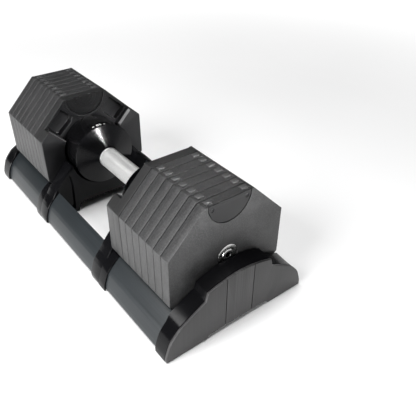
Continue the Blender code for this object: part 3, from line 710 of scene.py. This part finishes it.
def end_fittings():
    """Half-round cover, its screws and the flanged bolt on each end plate."""
    face = END_X - 0.35
    badge = Slab(half_disc(31.3, below=0.3), END_X - 1.7, face, 0.05, 0.5)
    for y in (SCREW_Y, -SCREW_Y):
        badge.pocket(circle(2.6, 32, (y, SCREW_Z)), 0.9, "high", 0.15)
    place_pair(badge.solid(), "end_cover_*", "plate_*_7", BADGE_BLACK,
               ["end_badge_*"])
    for y, name, far_name in ((SCREW_Y, "right", "left"), (-SCREW_Y, "left", "right")):
        profile = [(face - 0.85, 0.01), (face - 0.05, 0.01), (face - 0.05, 1.6), (face - 0.3, 1.95),
                   (face - 0.85, 1.95)]
        drive = Slab(circle(1.05, 6, (y, SCREW_Z)), face - 0.6, face + 1, 0, 0).solid()
        head = cut(turned(profile, 32, (0, y, SCREW_Z)), drive)
        place(half_turn(head), "cover_screw_%s_far" % far_name, "plate_far_7", BLACK_STEEL,
              ["badge_screw_%s_far" % far_name])
        place(head, "cover_screw_%s_near" % name, "plate_near_7", BLACK_STEEL,
              ["badge_screw_%s_near" % name])
    seat = END_X - 2.9
    shank = END_X - 6.3
    profile = [(shank, 0.02), (END_X + 0.1, 0.02), (END_X + 0.1, 3.9), (END_X + 0.35, 4.3),
               (END_X + 0.4, 5.2), (END_X + 0.3, 6.6), (END_X - 0.05, 7.6), (END_X - 0.8, 8.1),
               (END_X - 2.1, 8.2), (END_X - 2.1, 9.5), (END_X - 0.9, 9.7), (END_X - 0.6, 10.1),
               (END_X - 0.55, 13.6), (END_X - 0.75, 14.2), (END_X - 1.2, 14.6), (seat, 14.6),
               (seat, 3.9), (shank, 3.9)]
    socket = Slab(circle(SOCKET_R, 6), END_X - 5.6, END_X + 1, 0, 0).solid()
    place_pair(cut(turned(profile, 96), socket), "end_bolt_*", "plate_*_7", BRIGHT_STEEL,
               ["end_bolt_*"])


# Housings ---------------------------------------------------------------------------------
EAR_ARC_R = 52.5
RECESS_R = 46.8
EAR_FOOT = (60.5, 31.1)
COVER_SEAT_R = 31.9
BEADS = ((8.6, 9.5), (13.6, 14.5), (18.6, 19.5), (26.4, 27.4))   # raised rings on a cover


def ear_loop():
    """Outline of the +Y ear: down the outside, then back up along an arc about the grip."""
    top_in = on_slope(EAR_ALONG, 31.8)
    start = math.degrees(math.atan2(top_in[1] - AXIS_Z, top_in[0]))
    inner = arc((0, AXIS_Z), EAR_ARC_R, start, -52, 36)
    outer = softened([on_slope(EAR_ALONG, 0), top_in, EAR_FOOT, (PLATE_HALF, HIP_Z),
                      (PLATE_HALF, SHOULDER_Z)], 5)
    upper = [point for point in outer if point[1] > 110 and point[0] > top_in[0] + 1.5]
    lower = [point for point in outer if point[1] < 110 and point[0] > 61.5]
    upper_in = [point for point in upper if point[0] < 75 and point[1] < 141]
    rest = [point for point in upper if point not in upper_in]
    upper_in.sort(key=lambda point: -point[0])
    return rest + upper_in + inner + [EAR_FOOT] + lower


def housings():
    """Shell with a round recess, four pockets and two ears, and the ringed cover on its face."""
    slab = Slab(OCTAGON, HOUSING_X, HOUSING_BACK_X, PLATE_EDGE)
    slab.pocket(circle(RECESS_R), 11.6, "low", 0.7, hole=circle(12.6, 64))
    for side in (1, -1):
        spots = ((14, 4.5), (49.5, 4.5), (49.5, 29), (21, 31.2), (14, 28))
        corners = [on_slope(*spot) for spot in spots]
        slab.pocket(softened(across(corners, side), 1.8), 10, "low", 0.6)
    seat = Slab(half_disc(COVER_SEAT_R, above=3), HOUSING_X - 2, HOUSING_X + 1.6, 0, 0).solid()
    shape = cut(slab.solid(), seat)
    collar = half_disc(36.2, below=0.4) + list(reversed(half_disc(COVER_SEAT_R, below=0.4)))
    shape = joined(shape, Slab(collar, HOUSING_X - 1.2, HOUSING_X + 1, 0.4, 0).solid())
    for side in (1, -1):
        ear = Slab(across(ear_loop(), side), EAR_X, HOUSING_X + 0.5, 1.0, 0)
        shape = joined(shape, ear.solid())
    place_pair(shape, "housing_*_shell", "handle_unit", HOUSING_BLACK,
               ["housing_*"])
    badge = Slab(half_disc(31.5, below=0.3), HOUSING_X + 0.1, HOUSING_X + 1.4, 0.3, 0)
    rings = badge.solid()
    for inner, outer in BEADS:
        bead = half_disc(outer, below=0.6) + list(reversed(half_disc(inner, below=0.6)))
        rings = joined(rings, Slab(bead, HOUSING_X - 0.4, HOUSING_X + 0.9, 0.25, 0).solid())
    place_pair(rings, "top_cover_*", "handle_unit", SHADED_COVER_BLACK,
               ["top_badge_*"])


# Grip -------------------------------------------------------------------------------------
KNURL_ROUND = 84             # crests and hollows round the grip
KNURL_LENGTH = 53.4          # half of the knurled length
KNURL_ROWS = 88
KNURL_DEPTH = 0.42
GRIP_END_X = 70.2


def grip():
    """Bar with a diamond knurl, plain and closed at its ends."""
    shape = bmesh.new()
    places = [-KNURL_LENGTH + 2 * KNURL_LENGTH * row / KNURL_ROWS for row in range(KNURL_ROWS + 1)]
    corners = [shape.verts.new((x, 0, AXIS_Z + GRIP_R)) for x in places]
    edges = [shape.edges.new(pair) for pair in zip(corners, corners[1:])]
    bmesh.ops.spin(shape, geom=corners + edges, cent=(0, 0, AXIS_Z), axis=(1, 0, 0), dvec=(0, 0, 0),
                   angle=2 * math.pi, steps=KNURL_ROUND, use_merge=True, use_duplicate=False)
    hollows = []
    for vert in shape.verts:
        row = round((vert.co.x + KNURL_LENGTH) * KNURL_ROWS / (2 * KNURL_LENGTH))
        turn = math.atan2(vert.co.z - AXIS_Z, vert.co.y) % (2 * math.pi)
        column = round(turn * KNURL_ROUND / (2 * math.pi))
        if (row + column) % 2 and 0 < row < KNURL_ROWS:
            vert.co.y *= 1 - KNURL_DEPTH / GRIP_R
            vert.co.z = AXIS_Z + (vert.co.z - AXIS_Z) * (1 - KNURL_DEPTH / GRIP_R)
            hollows.append(vert)
    bmesh.ops.connect_verts(shape, verts=hollows)
    for row_x, out_x in ((-KNURL_LENGTH, -GRIP_END_X), (KNURL_LENGTH, GRIP_END_X)):
        rim = [edge for edge in shape.edges
               if edge.is_boundary and abs(edge.verts[0].co.x - row_x) < 0.01]
        made = bmesh.ops.extrude_edge_only(shape, edges=rim)["geom"]
        fresh = [item for item in made if isinstance(item, bmesh.types.BMVert)]
        bmesh.ops.translate(shape, verts=fresh, vec=(out_x - row_x, 0, 0))
        rim = [item for item in made if isinstance(item, bmesh.types.BMEdge)]
        bmesh.ops.edgeloop_fill(shape, edges=rim)
    place(shape, "grip_knurled", "grip", KNURLED, ["grip_tube"])


CONE_ROWS = 96               # fine turning marks down a cone's face
TOOL_MARK = 0.045            # their height
ROUND_STEPS = 160
DRUM_R = 46.2


def cones_and_drums():
    """Flared collars at the grip's ends, and the drums behind them."""
    profile = [(54.5, 16.4), (70.3, 16.4), (70.3, 20.5), (62.4, 20.5), (69.0, 41.5), (70.3, 43.5),
               (70.3, 48.8), (70.05, 49.05), (69.7, 49.1), (68.55, 49.1), (68.2, 48.98),
               (68.0, 48.7)]
    foot, tip = Vector((67.75, 48.0)), Vector((55.05, 17.6))
    out = Vector((tip.y - foot.y, foot.x - tip.x)).normalized()
    for row in range(CONE_ROWS + 1):
        spot = foot.lerp(tip, row / CONE_ROWS) + out * TOOL_MARK * (0, 1, 0, -1)[row % 4]
        profile.append((spot.x, spot.y))
    profile += [(54.7, 17.15), (54.5, 16.9)]
    place_pair(turned(profile, ROUND_STEPS), "cone_*_collar", "grip", CONE_LACQUER,
               ["cone_*"])
    profile = [(70.6, 15.0), (73.4, 15.0), (73.4, 43.0), (113.4, 43.0), (113.4, 45.7),
               (112.9, DRUM_R), (72.6, DRUM_R), (72.2, 45.9), (71.2, 45.9), (70.6, 45.4)]
    place_pair(turned(profile, ROUND_STEPS), "dial_drum_*_shell", "grip", DRUM_GLOSS,
               ["dial_drum_*"])


DIGIT_HEIGHT = 5.2
TYPE_SIZE = 1.38             # of a digit as high as 1
DIGIT_X = 75.6
STOPS = 8
UNITS_A_STOP = 5
DASH_OVER = 9.6              # from a number's middle to a dash's, round the drum
PRINT_LIFT = 0.03            # so that the print lies on the drum, not in it
HOOD_IN, HOOD_OUT = 46.62, 47.6
WINDOW_HALF = 21             # degrees
WINDOW_X = (73.4, 83.6)


def wrapped(shape, turn):
    """Bend a flat shape, X across and Y along, round the near drum."""
    for vert in shape.verts:
        over, along, height = vert.co
        angle = turn + over / DRUM_R
        radius = DRUM_R + PRINT_LIFT + height
        vert.co = (DIGIT_X + along, radius * math.cos(angle), AXIS_Z + radius * math.sin(angle))
    return shape


def digits(text, turn):
    """Printed digits, upright when seen from the grip."""
    curve = bpy.data.curves.new("digits", "FONT")
    curve.body = text
    curve.size = DIGIT_HEIGHT * TYPE_SIZE
    curve.align_x = "CENTER"
    curve.space_character = 1.25
    curve.offset = 0.16
    curve.extrude = 0.05
    drawn = bpy.data.objects.new("digits", curve)
    bpy.context.scene.collection.objects.link(drawn)
    bpy.context.view_layer.update()
    settled = drawn.evaluated_get(bpy.context.evaluated_depsgraph_get())
    mesh = bpy.data.meshes.new_from_object(settled)
    bpy.data.objects.remove(drawn, do_unlink=True)
    bpy.data.curves.remove(curve)
    shape = bmesh.new()
    shape.from_mesh(mesh)
    bpy.data.meshes.remove(mesh)
    bmesh.ops.remove_doubles(shape, verts=shape.verts, dist=TINY)
    return wrapped(shape, turn)


def dials():
    """One number for every click round each drum, and a hood that shows one at a time."""
    for side, sense in (("near", -1), ("far", 1)):
        marks = []
        for stop in range(STOPS):
            turn = math.pi / 2 + sense * 2 * math.pi * stop / STOPS
            marks.append(digits("%02d" % (UNITS_A_STOP * (stop + 1)), turn))
            for over in (-DASH_OVER, DASH_OVER):
                dash = rounded_box((over - 1.5, over + 1.5), (1.9, 3.2), (-0.06, 0.06), 0.0)
                marks.append(wrapped(dash, turn))
        numbers = beside(*marks)
        if side == "far":
            numbers = half_turn(numbers)
        place(numbers, "dial_numbers_" + side, "grip", DIAL_PRINT)
    profile = [(72.0, HOOD_IN), (114.9, HOOD_IN), (114.9, HOOD_OUT), (72.5, HOOD_OUT), (72.0, 47.1)]
    hood = turned(profile, ROUND_STEPS)
    sector = arc((0, AXIS_Z), 50, 90 - WINDOW_HALF, 90 + WINDOW_HALF, 16)
    sector += arc((0, AXIS_Z), 45, 90 + WINDOW_HALF, 90 - WINDOW_HALF, 16)
    window = Slab(sector, *WINDOW_X, 0, 0).solid()
    place_pair(cut(hood, window), "dial_hood_*", "handle_unit", DRUM_GLOSS)


# Cradle -----------------------------------------------------------------------------------
FLANK = [(110.3, 1.0), (110.3, 7.0), (109.2, 12.0), (107.6, 17.0), (105.8, 22.2), (103.9, 27.0),
         (100.8, 31.9), (97.3, 36.3), (93.6, 40.4)]              # the cradle's outer side at +Y
FOOT_IN = 53.0
RAIL_LOOP = [(80.8, 2.5), (107.9, 2.5), (107.9, 7.0), (106.8, 12.0), (105.2, 17.1), (103.4, 22.0),
             (101.5, 26.5), (98.5, 31.0), (95.0, 34.9), (91.4, 38.7), (87.5, 42.3), (80.8, 48.2)]
WALL_POCKET = [(59, 8), (100.5, 8), (99.5, 20), (94, 32), (84.5, 43.5), (72.5, 60.5), (59.5, 74.5),
               (57.0, 50)]                                       # in the inner wall at +Y
DIP_R = 52.4
TROUGH_IN, TROUGH_FLOOR = 39.2, 8.7
TROUGH_RIM = 48.6
FOOT_Y = 67.0
FOOT_MIDDLE_X = 247.8
PANEL_GROOVE_Y = 21.6


def rails():
    for side, name in ((1, "rail_right"), (-1, "rail_left")):
        loop = across(softened(RAIL_LOOP, 1.2, 2), side)
        tube = Slab(loop, -RAIL_END_X, RAIL_END_X, 0.5)
        hollow = across([(84, 5), (105.2, 5), (104.9, 8), (101, 19), (95, 30), (84, 40.6)], side)
        place(tube.through(hollow, 0).solid(), name + "_extrusion", "cradle", RAIL_SKIN,
              [name])


def wall_loop():
    """Inner wall: feet, arch, flanks and a round dip for the drum."""
    arch = [(0.0, 16.6), (30.0, 16.4), (43.0, 16.0), (46.8, 15.2), (49.2, 12.6), (FOOT_IN, 1.0)]
    flank = [(88.0, 48.6), (78.4, 60.5), (67.4, 72.7), (58.0, 83.2), (56.2, 85.0), (54.2, 85.6)]
    return mirrored(arch + FLANK + flank + arc((0, AXIS_Z), DIP_R, -9, -90, 36))


def strip_loop():
    """Section of the band that wraps the rail."""
    inner = [(88.0, 45.2), (83.4, 48.2), (81.8, 47.9)]
    under = [(84.0, 46.4), (88.2, 42.8), (92.0, 39.0), (95.6, 35.2), (99.2, 31.1), (102.1, 26.6),
             (105.8, 17.2), (107.4, 12.2), (108.4, 7.1), (108.4, 1.0)]
    return FLANK + inner + under


def end_arch():
    """Arch between an end's feet."""
    return [(0.0, 6.7), (30.0, 6.5), (44.0, 6.2), (47.6, 5.0), (50.2, 2.4), (FOOT_IN, 1.0)]


def end_loop():
    """End cap: feet, arch, shoulders, step and crown."""
    shoulder = [(89.5, 44.6), (83.0, 48.3), (68.0, 56.8), (52.5, 65.5)]
    crown = [(49.5, 77.5), (37.0, 81.1), (24.0, 84.0), (12.0, 85.8), (0.0, 86.4)]
    return mirrored(end_arch() + FLANK + shoulder + crown)


def raised_loop():
    """The ledge beside the plates, higher than at the cap."""
    shoulder = [(90.2, 46.4), (84.5, 53.5), (69.0, 61.6), (52.8, 70.0)]
    crown = [(49.8, 79.3), (37.2, 83.6), (24.2, 87.0), (12.1, 89.0), (0.0, 89.7)]
    return mirrored(end_arch() + FLANK + shoulder + crown)


def trays():
    """Inner wall, bands, trough and ledge of each tray."""
    wall = Slab(softened(wall_loop(), 1.4, 2), WALL_X, WALL_END_X, 0.9, 0.4)
    for side in (1, -1):
        wall.pocket(softened(across(WALL_POCKET, side), 3.0), 6.5, "low", 0.8)
    place_pair(wall.solid(), "tray_*_wall", "cradle", TRAY_GLOSS, ["tray_*"])
    for side, name in ((1, "a"), (-1, "b")):
        band = Slab(across(strip_loop(), side), WALL_END_X - 0.5, BAND_END_X, 0, 0.5)
        place_pair(band.solid(), "tray_*_band_" + name, "cradle", TRAY_GLOSS)
    reach = TROUGH_IN + TROUGH_RIM - TROUGH_FLOOR
    half = [(40.5, 5.5), (reach, TROUGH_RIM - 4.5), (reach, TROUGH_RIM), (TROUGH_IN, TROUGH_FLOOR)]
    trough = Slab(softened(mirrored(half), 1.0, 2), WALL_END_X - 2, LEDGE_X + 1, 0.3)
    place_pair(trough.solid(), "tray_*_trough", "cradle", TRAY_GLOSS)
    ledge = lofted([(LEDGE_X, grown(raised_loop(), -0.6)), (LEDGE_X + 0.6, raised_loop()),
                    (CAP_X - 0.9, end_loop()), (CAP_X - 0.3, grown(end_loop(), -0.5))])
    for side in (1, -1):
        channel = Slab(across(grown(RAIL_LOOP, 0.3), side), LEDGE_X - 1, CAP_X + 1, 0, 0).solid()
        ledge = cut(ledge, channel)
        y = side * FOOT_Y
        ledge = cut(ledge, rounded_box((239.5, 256.1), (y - 9.4, y + 9.4), (-1, 2.9), 0.3))
    place_pair(ledge, "tray_*_ledge", "cradle", TRAY_GLOSS)


def end_caps():
    """Outer covers with a groove at each side of the middle panel."""
    loop = softened(end_loop(), 1.2, 2)
    shape = Slab(loop, CAP_X, CAP_END_X, 0.3, 0.7).solid()
    for y in (PANEL_GROOVE_Y, -PANEL_GROOVE_Y):
        groove = rounded_box((CAP_END_X - 1.1, CAP_END_X + 2), (y - 0.6, y + 0.6), (-2, 110), 0)
        shape = cut(shape, groove)
    place_pair(shape, "end_cap_*_cover", "cradle", CAP_SKIN, ["end_cap_*"])


def feet():
    """Grooved rubber pads."""
    for y, name, far_name in ((FOOT_Y, "right", "left"), (-FOOT_Y, "left", "right")):
        length = (FOOT_MIDDLE_X - 8, FOOT_MIDDLE_X + 8)
        pad = rounded_box(length, (y - 9, y + 9), (0.05, 2.5), 0.5, 3)
        for row in range(-2, 3):
            x = FOOT_MIDDLE_X + row * 2.8
            pad = cut(pad, rounded_box((x - 0.4, x + 0.4), (y - 7, y + 7), (-1, 0.7), 0))
        place(half_turn(pad), "foot_pad_%s_far" % far_name, "cradle", RUBBER,
              ["foot_%s_far" % far_name])
        place(pad, "foot_pad_%s_near" % name, "cradle", RUBBER,
              ["foot_%s_near" % name])


def inner_finishes():
    """CAD nodes that stay get a finish."""
    finishes = {"core_tube": TURNED_STEEL, "drive_sleeve": TURNED_STEEL}
    for side in ("near", "far"):
        for name in ("index_disc", "selector_rod", "follower_pin", "lock_slide", "release_post",
                     "end_bush"):
            finishes[name + "_" + side] = TURNED_STEEL
        finishes["lock_spring_" + side] = SPRING_WIRE
        finishes["bearing_plate_" + side] = DARK_PLASTIC
    for name, finish in finishes.items():
        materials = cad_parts[name].data.materials
        materials.clear()
        materials.append(finish)


weight_plates()
end_fittings()
housings()
grip()
cones_and_drums()
dials()
rails()
trays()
end_caps()
feet()
inner_finishes()


# Floor, light and camera ------------------------------------------------------------------
def stage_floor():
    """Wide pale floor under the feet."""
    shape = bmesh.new()
    bmesh.ops.create_grid(shape, x_segments=1, y_segments=1, size=6)
    mesh = bpy.data.meshes.new("floor")
    shape.to_mesh(mesh)
    shape.free()
    mesh.materials.append(floor_paint())
    floor = bpy.data.objects.new("floor", mesh)
    bpy.context.scene.collection.objects.link(floor)


def area_light(name, spot, target, size, power, spread=180):
    """A lamp of a given size that faces a target."""
    light = bpy.data.lights.new(name, "AREA")
    light.spread = math.radians(spread)
    light.shape = "RECTANGLE"
    light.size, light.size_y = size
    light.energy = power
    lamp = bpy.data.objects.new(name, light)
    bpy.context.scene.collection.objects.link(lamp)
    lamp.location = spot
    lamp.rotation_euler = (Vector(target) - Vector(spot)).to_track_quat("-Z", "Y").to_euler()


def studio():
    """Dim surround that looks pale itself, and four lamps."""
    world = bpy.data.worlds.new("studio")
    bpy.context.scene.world = world
    world.use_nodes = True
    tree = world.node_tree
    back = tree.nodes["Background"]
    back.inputs["Color"].default_value = (0.95, 0.97, 1.0, 1)
    back.inputs["Strength"].default_value = 0.03
    seen = tree.nodes.new("ShaderNodeBackground")
    seen.inputs["Color"].default_value = (0.93, 0.93, 0.93, 1)
    path = tree.nodes.new("ShaderNodeLightPath")
    pick = tree.nodes.new("ShaderNodeMixShader")
    tree.links.new(path.outputs["Is Camera Ray"], pick.inputs[0])
    tree.links.new(back.outputs[0], pick.inputs[1])
    tree.links.new(seen.outputs[0], pick.inputs[2])
    tree.links.new(pick.outputs[0], tree.nodes["World Output"].inputs[0])
    area_light("overhead", (0, 0, 1.8), (0, 0, 0.1), (1.2, 1.2), 34.0)
    area_light("front_softbox", (0.1, -1.3, 1.1), (0, 0, 0.05), (1.0, 0.6), 20.0)
    area_light("side_softbox", (0.5, -1.5, 0.25), (0, 0, 0.06), (1.4, 0.4), 36.0)
    area_light("cone_spot", (1.43, 0.38, 0.54), (-0.062, 0, 0.122), (0.36, 0.1), 0.3, spread=6)


EYE = (0.57909, -0.30552, 0.49123)
EYE_TURN, EYE_RISE, EYE_ROLL = 51.42, 35.70, 0.96    # degrees
LENS, SENSOR = 43.55, 36


def camera():
    turn, rise, roll = math.radians(EYE_TURN), math.radians(EYE_RISE), math.radians(EYE_ROLL)
    level = math.cos(rise)
    back = Vector((math.sin(turn) * level, -math.cos(turn) * level, math.sin(rise)))
    right = (-back).cross(Vector((0, 0, 1))).normalized()
    up = right.cross(-back).normalized()
    across_view = math.cos(roll) * right + math.sin(roll) * up
    up_view = -math.sin(roll) * right + math.cos(roll) * up
    lens = bpy.data.cameras.new("camera")
    lens.lens = LENS
    lens.sensor_width = SENSOR
    lens.clip_start = 0.01
    eye = bpy.data.objects.new("camera", lens)
    bpy.context.scene.collection.objects.link(eye)
    facing = Matrix((across_view, up_view, back)).transposed().to_4x4()
    eye.matrix_world = Matrix.Translation(EYE) @ facing
    bpy.context.scene.camera = eye


stage_floor()
studio()
camera()
bpy.context.scene.view_settings.view_transform = "Standard"
